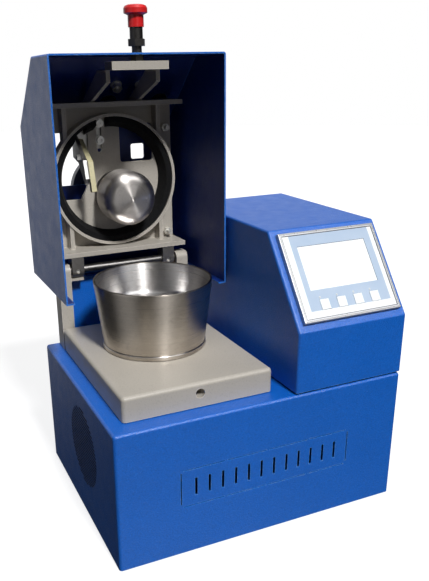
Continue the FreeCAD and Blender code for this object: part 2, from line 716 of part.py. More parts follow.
def make_drive():
    """Bearing housing, bearings, shaft and gears, driven by a geared motor on a bracket."""
    spot = (axis_x, bowl_y)
    under = base_top - sheet_thick
    house = turned("bearing_tube", [
        (bearing_race, under - 51), (bearing_outer, under - 51), (bearing_outer, under - 10),
        (55, under - 10), (55, under), (bearing_outer, under), (bearing_outer, under + 18),
        (bearing_race, under + 18),
    ], "z", *spot)
    bolts = [
        rod("z", under - 11, under + 1, (axis_x + 45 * sx, bowl_y + 45 * sy), 3)
        for sx, sy in ((1, 0), (0, 1), (-1, 0), (0, -1))
    ]
    node("bearing_housing", cut(house, *bolts))
    lower, upper = under - 49, under + 2
    races = [
        tube("z", low, low + bearing_width, spot, bearing_race, shaft_radius + 0.02)
        for low in (lower, upper)
    ]
    node("drive_bearings", apart(*races))

    head = base_top + 20
    shaft_low = gear_low - 8
    node("drive_shaft", turned("shaft", [
        (0, shaft_low), (shaft_radius, shaft_low), (shaft_radius, head), (0, head),
    ], "z", *spot))
    plate_up = plate_top + 0.6
    disc = rod("z", head, plate_up, spot, 50)
    turns = [math.radians(120 * i + 90) for i in range(3)]
    pins = [
        rod("z", plate_up - 2, plate_up + 7, (axis_x + 36 * math.cos(a), bowl_y + 36 * math.sin(a)), 4)
        for a in turns
    ]
    node("drive_plate", join(disc, *pins))
    sockets = [
        rod("z", plate_up - 1, plate_up + 8, (axis_x + 36 * math.cos(a), bowl_y + 36 * math.sin(a)), 4.1)
        for a in turns
    ]

    rim, floor = base_top + bowl_rise, base_top + bowl_floor
    foot = bowl_foot
    bowl = turned("bowl", [
        (0, plate_up), (foot - 0.6, plate_up), (foot, plate_up + 0.6), (foot, plate_up + 4.8),
        (foot - 0.6, plate_up + 5.4), (foot - 2.2, plate_up + 5.4), (foot - 2.2, plate_up + 6.8),
        (foot - 0.8, plate_up + 6.8), (bowl_radius, rim - 2.4), (bowl_radius, rim - 0.4),
        (bowl_radius - 0.4, rim), (bowl_radius - 2.2, rim), (bowl_radius - 2.8, rim - 0.6),
        (64, floor), (0, floor),
    ], "z", *spot)

    def rounding_at(z):
        return lambda e: at_corner(e, z=z) and e.BoundBox.XLength > 120

    round_edges(bowl, 10, rounding_at(floor))
    node("mortar_bowl", cut(bowl, *sockets))

    reach = tooth_module * (gear_teeth + pinion_teeth) / 2
    wheel = gear("gear_blank", gear_teeth, axis_x, bowl_y, gear_low, gear_width, shaft_radius, 0)
    node("driven_gear", apart(wheel))
    small = gear(
        "pinion_blank", pinion_teeth, axis_x + reach, bowl_y, gear_low - 1, gear_width + 2,
        7, 180 / pinion_teeth,
    )
    arbor = rod("z", gear_low - 4, gear_low + 40, (axis_x + reach, bowl_y), 7.02)
    node("motor_pinion", join(small, arbor))

    motor_x = axis_x + reach
    deck = gear_low + 18
    hole = rod("z", deck - 1, deck + 50, (motor_x, bowl_y), 7.4)
    base = rod("z", deck + 5, deck + 80, (motor_x, bowl_y), 36)
    flange = block(motor_x - 34, motor_x + 40, bowl_y - 38, bowl_y + 38, deck + 5, deck + 17)
    fins = [
        rod("z", deck + 24 + 8 * i, deck + 28 + 8 * i, (motor_x, bowl_y), 38) for i in range(6)
    ]
    node("gear_motor", cut(join(base, flange, *fins), hole))
    deck_low = foot_height + sheet_thick
    top = block(motor_x - 38, motor_x + 50, bowl_y - 45, bowl_y + 45, deck, deck + 5)
    legs = [
        block(motor_x - 4, motor_x + 50, y, y + 5, deck_low, deck + 1)
        for y in (bowl_y - 45, bowl_y + 40)
    ]
    open_centre = rod("z", deck - 1, deck + 6, (motor_x, bowl_y), 10)
    node("motor_bracket", cut(join(top, *legs), open_centre))


def make_electrics():
    """Fan behind the grille, frequency inverter, and the mains inlet with its switch."""
    spot = (vent_y, vent_z)
    x0, x1 = sheet_thick + 0.5, sheet_thick + 25.5
    half = vent_radius + 5
    frame = block(x0, x1, vent_y - half, vent_y + half, vent_z - half, vent_z + half)
    frame = rounded(frame, 5, lambda e: along(e, "x"))
    arm, arm_half = half - 2, 3
    arms = [
        block(x1 - 5, x1, vent_y - arm, vent_y + arm, vent_z - arm_half, vent_z + arm_half),
        block(x1 - 5, x1, vent_y - arm_half, vent_y + arm_half, vent_z - arm, vent_z + arm),
    ]
    frame = join(cut(frame, rod("x", x0 - 1, x1 + 1, spot, vent_radius + 1)), *arms)
    node("fan_frame", frame)

    hub = rod("x", x0 + 3, x1 - 6, spot, 20)
    blades = []
    for i in range(7):
        blade = block(-1.2, 1.2, -7, 7, 18, vent_radius - 3)
        turn = FreeCAD.Rotation(V(1, 0, 0), 360 * i / 7)
        blade = apart(blade)
        pitch = FreeCAD.Rotation(V(0, 0, 1), 50)
        place(blade, (x0 + x1) / 2 - 1.5, vent_y, vent_z, turn.multiply(pitch))
        blades.append(blade)
    node("fan_rotor", join(hub, *blades))

    low = foot_height + sheet_thick
    case = block(276, 366, 60, 150, low, 140)
    ribs = [block(274, 367, 66 + 10 * i, 69 + 10 * i, 20, 141) for i in range(8)]
    core = block(282, 360, 59, 151, low - 1, 134)
    fins = [cut(rib, core) for rib in ribs]
    node("frequency_inverter", cut(case, *fins))

    back = base_depth
    left, right = inlet_left, inlet_left + inlet_width
    down, up = inlet_low, inlet_low + inlet_height
    flange = rounded(block(left - 5, right + 5, back, back + 3, down - 4, up + 4), 2, lambda e: along(e, "y"))
    core = block(left + 0.3, right - 0.3, back - 34, back + 1, down + 0.3, up - 0.3)
    socket = block(left + 3, right - 3, back - 18, back + 4, down + 3, down + 22)
    well = block(left + 5, right - 5, back - 12, back + 4, up - 20.5, up - 3.5)
    shell = cut(join(flange, core), socket, well)
    blades = [
        block(x - 1, x + 1, back - 20, back - 3, z, z + 4)
        for x, z in ((left + 7, down + 8), (left + 14, down + 13), (left + 21, down + 8))
    ]
    pivot_ends = left + 4, right - 4
    pivot_hole = rod("x", *pivot_ends, (back - 3, down + 36), 1.6)
    node("power_inlet", cut(join(shell, *blades), pivot_hole))
    rocker = new_body("rocker")
    side = new_sketch(rocker, "YZ_Plane", left + 5.6)
    outline(side, [(-3, -5.4), (4.4, -6.6), (2.6, 0), (4.4, 6.6), (-3, 5.4)])
    pad(rocker, side, inlet_width - 11.2)
    pivot = rod("x", *pivot_ends, (0, 0), 1.5)
    node("power_switch", join(rocker, pivot), "rocker")


# ---------------------------------------------------------------- hood
def make_hood_shell():
    wall = sheet_thick
    front, back = 0 - hood_front, hood_back
    low, knee, top = 0 - hood_bottom, hood_knee, hood_top
    crown = 0 - hood_crown
    run, rise = hood_run, hood_rise
    body = new_body("hood_body")
    profile = new_sketch(body, "YZ_Plane", hood_left)
    outline(profile, [(front, low), (front, top), (crown, top), (back, knee), (back, low)])
    pad(body, profile, hood_width)

    def outer_edge(edge):
        box = edge.BoundBox
        return box.ZMax > low.number + 0.01 and box.YMax > front.number + 0.01

    round_edges(body, edge_round - 1, outer_edge)
    hollow = new_sketch(body, "YZ_Plane", hood_left + wall)
    outline(hollow, [
        (front - 1, low + wall), (front - 1, top - wall),
        (crown - wall * bend_share(run, rise), top - wall),
        (back - wall, knee - wall * bend_share(rise, run)),
        (back - wall, low + wall),
    ])
    pocket(body, hollow, hood_width - wall * 2, backward=True)
    under = new_sketch(body, "XY_Plane", low - 1)
    rectangle(under, hood_left + hood_lip, hood_right - hood_lip, front - 1, hood_sill)
    pocket(body, under, wall + 2, backward=True)

    # openings in the back panel: window, feed hole, spindle hole
    panel = new_sketch(body, "XZ_Plane", 0 - back)
    rectangle(panel, 52, 104, 106, 186)
    rectangle(panel, 165.3, 186, 138, 160)
    circle(panel, pestle_x, pestle_height, 9.5)
    for x in (axis_x - 83.5, axis_x + 83.5):
        for z in (34, 184.5):
            circle(panel, x, z, 3.1)
    pocket(body, panel, wall * 4, both=True)
    feed_corners = [(x, z) for x in (165.3, 186) for z in (138, 160)]
    round_edges(body, 3, lambda e: at_spots(e, feed_corners))
    roof = new_sketch(body, "XY_Plane", top + 1)
    circle(roof, axis_x, 0 - latch_reach, 8)
    pocket(body, roof, wall + 2)
    holes = [slope_rod(spot, -9, 9, plug_radius) for spot in plug_spots]
    holes += [slope_rod(spot, -9, 9, slope_bolt + 0.1) for spot in bolt_spots]
    node("hood_shell", cut(body, *holes), "hood")


def on_slope(thing, spot, height):
    """Stands a solid made along z on the hood's slope, at a height above its outer face."""
    x, z = spot
    y = hood_back - (as_size(z) - hood_knee) * (hood_run / hood_rise)
    sine, cosine = math.sin(hood_slope), math.cos(hood_slope)
    turn = FreeCAD.Rotation(V(1, 0, 0), 0 - math.degrees(hood_slope))
    place(thing, x, y + as_size(height) * sine, z + as_size(height) * cosine, turn)
    return thing


def slope_rod(spot, low, high, radius):
    """A cylinder square to the hood's slope, between two heights above its outer face."""
    return on_slope(rod("z", 0, as_size(high) - low, (0, 0), radius), spot, low)


def slope_nut(spot, low, high, flats):
    return on_slope(hexagon("z", 0, as_size(high) - low, (0, 0), flats), spot, low)


def make_slope():
    """Blanking plugs in the slope's two holes; returns its two bolts with washers and nuts."""
    inside = 0 - sheet_thick
    plugs = [
        join(slope_rod(spot, 0.02, 1.8, plug_radius + 2), slope_rod(spot, -4, 1, plug_radius - 0.3))
        for spot in plug_spots
    ]
    node("slope_plugs", apart(*plugs), "hood")
    return [
        join(
            slope_rod(spot, 0, 3.2, slope_bolt * 1.8),
            slope_rod(spot, inside - 11.5, 1, slope_bolt),
            slope_rod(spot, inside - 1.6, inside, slope_bolt * 2),
            slope_nut(spot, inside - 8.2, inside - 1.5, slope_bolt * 3.2),
        )
        for spot in bolt_spots
    ]


def make_carrier():
    """Welded frame inside the hood: carrier plate, cross plates, ribs, ring and latch."""
    front, back = carrier_front, carrier_back
    middle = axis_x
    body = new_body("carrier")
    plate = new_sketch(body, "XZ_Plane", 0 - front)
    low = cross_low + carrier_thick
    rectangle(plate, middle - carrier_half, middle + carrier_half, low, cross_high)
    pad(body, plate, carrier_thick, backward=True)
    holes = new_sketch(body, "XZ_Plane", 0 - front)
    circle(holes, pestle_x - 1.5, pestle_height, pestle_radius - 2.8)
    for x in (middle - 83.5, middle + 83.5):
        for z in (34, 184.5):
            circle(holes, x, z, 3.1)
    half = slot_width / 2
    rectangle(holes, slot_x - half, slot_x + half, slot_low + half, slot_high - half)
    pocket(body, holes, carrier_thick * 4, both=True)
    ends = new_sketch(body, "XZ_Plane", 0 - front)
    circle(ends, slot_x, slot_low + half, half)
    pocket(body, ends, carrier_thick * 4, both=True)
    others = new_sketch(body, "XZ_Plane", 0 - front)
    circle(others, slot_x, slot_high - half, half)
    pocket(body, others, carrier_thick * 4, both=True)
    openings = new_sketch(body, "XZ_Plane", 0 - front)
    rectangle(openings, 131.5, 182.5, 139.5, 192)
    outline(openings, [(40, 92), (71.5, 92), (78.5, 103), (83.5, 115), (86.5, 184), (40, 184)])
    pocket(body, openings, carrier_thick * 4, both=True)
    corners = [(131.5, 139.5), (182.5, 139.5), (131.5, 192), (182.5, 192), (86.5, 184), (40, 92)]
    round_edges(body, 5, lambda e: at_spots(e, corners))
    node("carrier_plate", body, "hood")

    def cross(z):
        return block(middle - cross_half, middle + cross_half, 0 - cross_front, back, z, z + carrier_thick)

    node("cross_plates", apart(cross(cross_low), cross(cross_high)), "hood")

    spot = (middle, ring_height)
    ribs = []
    for x0 in (middle - rib_place - rib_thick, middle + rib_place):
        for z0, z1 in ((low, ring_height - 45), (ring_height + 45, cross_high)):
            rib = block(x0, x0 + rib_thick, ring_front + 2.5, front, z0, z1)
            ribs.append(cut(rib, rod("y", 0, front + 1, spot, ring_radius + 0.05)))
    node("side_ribs", apart(*ribs), "hood")
    inner = ring_radius - ring_wall
    node("mortar_ring", tube("y", ring_front, front, spot, ring_radius, inner), "hood")
    seal = turned("seal", [
        (inner - 0.1, ring_front + 3), (78.5, ring_front + 3), (72, front - 0.2), (inner - 0.1, front - 0.2),
    ], "y", middle, ring_height)
    notch = block(slot_x - 8.5, slot_x + 8.5, 0, front + 1, 170, 210)
    outside = tube("y", -1, front + 2, spot, ring_radius + 20, inner - 4.9)
    way = cut(block(blade_left - 7, blade_left + blade_thick + 1.8, 0, front + 1, 146, 198), outside)
    node("ring_seal", cut(seal, notch, way), "hood")


def at_spots(edge, spots):
    """True for an edge along y whose x and z are those of one of the spots."""
    x, z = edge.BoundBox.Center.x, edge.BoundBox.Center.z
    return edge.BoundBox.YLength > 1 and any(abs(x - a) < 0.1 and abs(z - b) < 0.1 for a, b in spots)


def make_latch():
    """Latch plate on its gussets, and the indexing plunger that goes through it."""
    middle, low = axis_x, latch_height - latch_thick / 2
    thread_radius = 6
    high = latch_height + latch_thick / 2
    front, rear = 0 - latch_reach - 11.3, 0 - latch_reach + 15.7
    plate = block(middle - latch_half, middle + latch_half, front, rear, low, high)
    spot = (middle, 0 - latch_reach)
    node("latch_plate", cut(plate, rod("z", low - 1, high + 1, spot, thread_radius + 0.1)), "hood")
    webs = []
    base = cross_high + carrier_thick
    for x0 in (middle - latch_half + 0.8, middle + latch_half - 5.8):
        web = new_body("web")
        side = new_sketch(web, "YZ_Plane", x0)
        outline(side, [(30, base), (-5, base), (rear, 247.5), (rear, low), (-42, low)])
        pad(web, side, 5)
        webs.append(web)
    node("latch_gussets", apart(*webs), "hood")

    bore = rod("z", low - 1, high + 60, spot, plunger_radius + 0.08)
    thread = rod("z", low, 290, spot, thread_radius)
    nut = hexagon("z", high, hood_top - sheet_thick, spot, 14.5)
    collar = hexagon("z", 287.6, 295.4, spot, 18.5)
    top = rod("z", 295.4, 308, spot, 7.8)
    node("plunger_sleeve", cut(join(thread, nut, collar, top), bore), "hood")
    node("plunger_pin", rod("z", low + 0.4, 326, spot, plunger_radius), "hood")
    knob = turned("knob", [
        (plunger_radius + 0.02, 320.5), (8.2, 320.5), (8.2, 308.4), (9.4, 308.4), (9.4, 321.4),
        (14.1, 323.6), (14.1, 328.8), (12.6, 331.4), (9.6, 332.6), (8.6, 331.4), (0, 331.4),
        (0, 326.1), (plunger_radius + 0.02, 326.1),
    ], "z", *spot)
    node("plunger_knob", knob, "hood")


def make_hinge():
    """Clamping lugs under the lower cross plate, on a shaft that turns in the posts."""
    lugs, screws = [], []
    for side in (-1, 1):
        inner = axis_x + (plate_width / 2 - post_width) * side
        near = inner - lug_gap * side
        far = near - lug_width * side
        x0, x1 = (near, far) if side < 0 else (far, near)
        half = lug_radius
        web = block(x0, x1, 0 - half, half, 0, cross_low)
        heel = block(x0, x1, 0, half, 0 - half, 0)
        lug = join(web, heel, rod("x", x0, x1, (0, 0), half))
        middle = (x0 + x1) / 2
        well = rod("y", 0 - half - 1, -5, (middle, 0), 3.1)
        lugs.append(cut(lug, rod("x", x0 - 1, x1 + 1, (0, 0), hinge_radius + 0.02), well))
        screws.append(cut(
            rod("y", 0 - half + 2, 0 - hinge_radius - 0.1, (middle, 0), 3),
            hexagon("y", 0 - half, 0 - half + 3.2, (middle, 0), 3),
        ))
    node("hinge_lugs", apart(*lugs), "hood")
    reach = plate_width / 2 - 0.5
    shaft = rod("x", axis_x - reach, axis_x + reach, (0, 0), hinge_radius)
    node("hinge_shaft", rounded(shaft, 1, lambda e: e.BoundBox.XLength < 0.1), "hood")
    return screws


def make_fasteners(screws):
    """Spacers between the carrier plate and the hood's back, with their studs and nuts."""
    front, back, panel = carrier_front, carrier_back, hood_back
    spacers, studs = [], list(screws)
    for x in (axis_x - 83.5, axis_x + 83.5):
        for z in (34, 184.5):
            spacers.append(tube("y", back, panel - sheet_thick, (x, z), 7, 3.1))
            stud = rod("y", front - 14, panel + 3, (x, z), 3)
            nut = hexagon("y", front - 6, front, (x, z), 10)
            dome = rod("y", panel, panel + 4, (x, z), 5)
            studs.append(join(stud, nut, dome))
    node("hood_spacers", apart(*spacers), "hood")
    node("hood_fasteners", apart(*studs), "hood")


# ---------------------------------------------------------------- pestle and scraper
def make_pestle():
    """Pestle on a sliding, sprung sleeve, and the handwheel that sets its pressure."""
    spot = (pestle_x, pestle_height)
    face = 0 - pestle_reach
    back, rear = carrier_back, hood_back - sheet_thick
    flange = tube("y", back, back + 5, spot, 43, sleeve_radius + 0.05)
    barrel = tube("y", back + 4, rear, spot, 31, sleeve_radius + 0.05)
    node("pestle_housing", join(flange, barrel), "hood")
    head = turned("head", [
        (0, face - 1.5), (pestle_radius, face + 1.5), (pestle_radius, 15), (19, 22), (stem_radius, 26),
        (stem_radius, 62), (0, 62),
    ], "y", *spot)
    round_edges(head, 14, lambda e: at_corner(e, y=face + 1.5) and e.BoundBox.XLength > 60)
    node("pestle", head, "hood")
    low, high = back + 3, back + 27
    node("pestle_sleeve", tube("y", low, high, spot, sleeve_radius, sleeve_bore), "hood")
    races = [
        tube("y", y, y + 9, spot, sleeve_bore, stem_radius + 0.03) for y in (low + 1, high - 10)
    ]
    node("pestle_bearings", apart(*races), "hood")
    node("pressure_spring", coil(spot, high + 0.3, rear - 6.4, 19.5, 1.1, 3), "hood")

    wheel_in, wheel_out = rear + 14, wheel_back
    spindle = join(
        rod("y", rear - 5, wheel_out - 3, spot, 8), rod("y", rear - 6, rear - 1, spot, 22.5),
    )
    node("wheel_spindle", spindle, "hood")
    rim = wheel_radius
    wheel = turned("wheel", [
        (8.02, rear + 6), (16, rear + 6), (18, wheel_in + 3), (rim - 14, wheel_in + 4),
        (rim - 12, wheel_in), (rim, wheel_in), (rim, wheel_out), (rim - 10, wheel_out),
        (rim - 12, wheel_out - 3), (20, wheel_out - 3), (19, wheel_out - 1), (0, wheel_out - 1),
        (0, wheel_out - 2.9), (8.02, wheel_out - 2.9),
    ], "y", *spot)
    node("pressure_wheel", wheel, "hood")


def coil(spot, start, end, radius, wire, turns):
    """A round-wire spring along y, between two places."""
    spring = doc.addObject("Part::Feature", "coil")
    length = number_of(end) - number_of(start) - 2 * wire
    steps = 12 * turns
    points = []
    for step in range(steps + 1):
        angle = 2 * math.pi * turns * step / steps
        points.append(V(radius * math.cos(angle), radius * math.sin(angle), length * step / steps))
    path = Part.BSplineCurve()
    path.interpolate(points)
    heading = path.tangent(path.FirstParameter)[0]
    profile = Part.Wire(Part.makeCircle(wire, points[0], heading))
    shape = Part.Wire(path.toShape()).makePipeShell([profile], True, True)
    middle_x, middle_z = (number_of(value) for value in spot)
    shape.Placement = FreeCAD.Placement(
        V(middle_x, number_of(start) + wire, middle_z), TURNS["y"],
    )
    spring.Shape = shape
    return apart(spring)


def make_scraper():
    """Plastic scraper on a steel bracket, clamped through the carrier plate's slot."""
    back = carrier_back + 0.2
    arm = new_body("arm")
    side = new_sketch(arm, "YZ_Plane", blade_left - 5.2)
    outline(side, [
        (back + 4, 150), (back + 4, 179), (28, 179), (-8, 150), (-16, 126), (-10, 118), (16, 145),
    ])
    pad(arm, side, 5)
    tail = block(blade_left - 5.2, slot_x + 8, back, back + 4, 160, 206)
    holes = [rod("y", back - 1, back + 5, (slot_x, z), 3.1) for z in (screw_low, screw_high)]
    bolt_spot = (6, 152)
    bracket = cut(join(arm, tail), *holes, rod("x", 40, 90, bolt_spot, 2.6))
    node("scraper_bracket", bracket, "hood")

    blade = new_body("blade")
    side = new_sketch(blade, "YZ_Plane", blade_left)
    outline(side, [(29, 175), (-13, 148), (-24, 110), (-17, 108), (-6, 136), (20, 156), (29, 165)])
    pad(blade, side, blade_thick)
    node("scraper_blade", cut(blade, rod("x", 60, 90, bolt_spot, 2.6)), "hood")

    fasteners = []
    front = carrier_front
    for z in (screw_low, screw_high):
        spot = (slot_x, z)
        socket = hexagon("y", front - 8, front - 5, spot, 4)
        head = cut(rod("y", front - 7.4, front - 1.4, spot, 5), socket)
        washer = rod("y", front - 1.6, front - 0.1, spot, 6.2)
        shank = rod("y", front - 2, back + 9, spot, 2.9)
        fasteners.append(join(head, washer, shank, hexagon("y", back + 4, back + 8.5, spot, 10)))
    bolt = join(
        rod("x", blade_left - 9, blade_left + blade_thick, bolt_spot, 2.5),
        hexagon("x", blade_left - 10, blade_left - 5.2, bolt_spot, 8),
    )
    node("scraper_screws", apart(*fasteners, bolt), "hood")


make_base()
make_floor()
make_plate()
make_posts()
make_control()
make_panel()
make_drive()
make_electrics()
make_hood_shell()
make_carrier()
make_latch()
slope_bolts = make_slope()
lug_screws = make_hinge()
make_fasteners(slope_bolts + lug_screws)
make_pestle()
make_scraper()

# ---------------------------------------------------------------- checks and export
doc.recompute()
faults = [f"{thing.Label}: {thing.State}" for thing in doc.Objects
          if "Invalid" in thing.State or "Error" in thing.State]
faults += [f"{thing.Label}: bad shape" for thing in nodes
           if thing.Shape.isNull() or not thing.Shape.isValid() or not thing.Shape.Solids]
if len(nodes) > 60 or len({thing.Label for thing in nodes}) < len(nodes):
    faults.append("sub-parts are too many or share a name")
if faults:
    raise RuntimeError("; ".join(faults))
os.makedirs("parts", exist_ok=True)
for thing in nodes:
    thing.Shape.exportStep(f"parts/{thing.Label}.step")
    box = thing.Shape.BoundBox
    print(f"{thing.Label:22s} {len(thing.Shape.Solids)} solids, {thing.Shape.Volume / 1000:9.2f} cm3",
          f"x {box.XMin:7.1f} {box.XMax:7.1f} y {box.YMin:7.1f} {box.YMax:7.1f}",
          f"z {box.ZMin:7.1f} {box.ZMax:7.1f}")
print(len(nodes), "sub-parts")
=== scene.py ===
"""Looks of a laboratory mortar grinder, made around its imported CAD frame."""
import json
import math

import bmesh
import bpy
from mathutils import Matrix, Vector


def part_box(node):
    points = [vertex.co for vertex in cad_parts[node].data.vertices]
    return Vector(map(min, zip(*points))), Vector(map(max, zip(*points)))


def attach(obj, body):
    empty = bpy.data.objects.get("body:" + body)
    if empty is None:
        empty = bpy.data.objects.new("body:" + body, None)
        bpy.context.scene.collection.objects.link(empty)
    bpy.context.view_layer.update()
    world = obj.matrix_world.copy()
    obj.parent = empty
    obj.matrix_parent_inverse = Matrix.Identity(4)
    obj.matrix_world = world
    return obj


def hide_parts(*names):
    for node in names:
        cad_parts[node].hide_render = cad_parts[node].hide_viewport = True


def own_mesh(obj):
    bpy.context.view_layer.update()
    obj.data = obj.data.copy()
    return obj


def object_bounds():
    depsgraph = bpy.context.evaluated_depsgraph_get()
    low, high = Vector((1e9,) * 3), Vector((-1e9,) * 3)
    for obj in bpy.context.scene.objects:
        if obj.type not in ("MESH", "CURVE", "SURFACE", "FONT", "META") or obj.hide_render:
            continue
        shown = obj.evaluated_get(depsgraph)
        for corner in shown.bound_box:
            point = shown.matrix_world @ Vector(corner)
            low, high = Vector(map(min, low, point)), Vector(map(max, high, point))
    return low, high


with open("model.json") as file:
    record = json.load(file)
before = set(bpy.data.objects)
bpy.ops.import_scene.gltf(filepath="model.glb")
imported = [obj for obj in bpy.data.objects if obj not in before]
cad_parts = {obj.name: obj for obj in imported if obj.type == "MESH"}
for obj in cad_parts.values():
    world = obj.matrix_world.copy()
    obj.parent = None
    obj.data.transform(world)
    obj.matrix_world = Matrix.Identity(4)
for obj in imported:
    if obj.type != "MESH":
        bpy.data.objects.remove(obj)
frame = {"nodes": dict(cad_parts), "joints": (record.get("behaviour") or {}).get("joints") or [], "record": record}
cad_low, cad_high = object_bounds()

MM = 0.001
FLOOR_RADIUS = 6.0
SEEN_WHITE = 1.0                       # brightness of the backdrop for the camera
DIM_GLOW = 0.035                       # brightness of the surroundings between the patches
nodes = frame["nodes"]
joints = {joint["name"]: joint for joint in frame["joints"]}
scene = bpy.context.scene
scene.view_settings.view_transform = "Standard"


# ------------------------------------------------------------------ places
def frame_of(origin, right, back):
    """A matrix whose x runs right, y back and z up from an origin, in metres."""
    right, back = Vector(right).normalized(), Vector(back).normalized()
    up = right.cross(back)
    rows = Matrix((right, back, up)).transposed().to_4x4()
    return Matrix.Translation(origin) @ rows


hinge = Vector(joints["hood_hinge"]["pos_m"])
HOOD = frame_of((cad_low.x, hinge.y, hinge.z), (1, 0, 0), joints["pestle_press"]["axis"])
press = Vector(joints["key_1_press"]["axis"])
KNEE = 261 * MM                        # height at which the control housing's slope begins
PANEL = frame_of((cad_low.x, cad_low.y, KNEE), (1, 0, 0), (0, -press.z, press.y))
FILM = (246.7, 379.7, 13.3, 121.3)     # left, right, low and high edge of the panel's front film
SCREEN = (264.0, 362.6, 48.7, 105.4)   # the same of its screen
BORDER = (9.4, 6.9, 9.5)               # white border at the film's left, right and low edge

# places and sizes on the panel and in the hood, in millimetres
KEY_LEFT, KEY_TOP, KEY_PITCH, FACE = 271.8, 36.2, 24.4, 5.6
RING_X, RING_Y, RING_Z, RING_RADIUS = 116.6, 9.5, 117.5, 90
CARRIER_Y, LOW_CROSS, HIGH_CROSS = 30, 26, 217.2
VENT_RADIUS = 55                       # radius of the fan grille
HOOD_MIDDLE = (110, 20, 120)           # a point in the open space inside the hood
RIM_BAND = 3                           # height of the mortar's rim
RIB_SIDES = (46.1, 52.4, 180.8, 187.1)
WEB_SIDES, WEB_FOOT, LATCH_LOW = (81.0, 86.8, 146.4, 152.2), 223.2, 261.3


def at(space, x, y, z):
    """A point given in millimetres in the hood's or the panel's frame, in row metres."""
    return space @ (Vector((x, y, z)) * MM)


def top_of(name):
    """Height of the highest point of a CAD node."""
    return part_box(name)[1].z


# ------------------------------------------------------------------ colours and shaders
def srgb(red, green, blue):
    """Linear colour of a display colour given from 0 to 255."""
    def linear(value):
        share = value / 255
        return share / 12.92 if share <= 0.04045 else ((share + 0.055) / 1.055) ** 2.4
    return linear(red), linear(green), linear(blue), 1.0


def shade(color, factor):
    """The same colour, darker or lighter."""
    return tuple(min(1.0, part * factor) for part in color[:3]) + (1.0,)


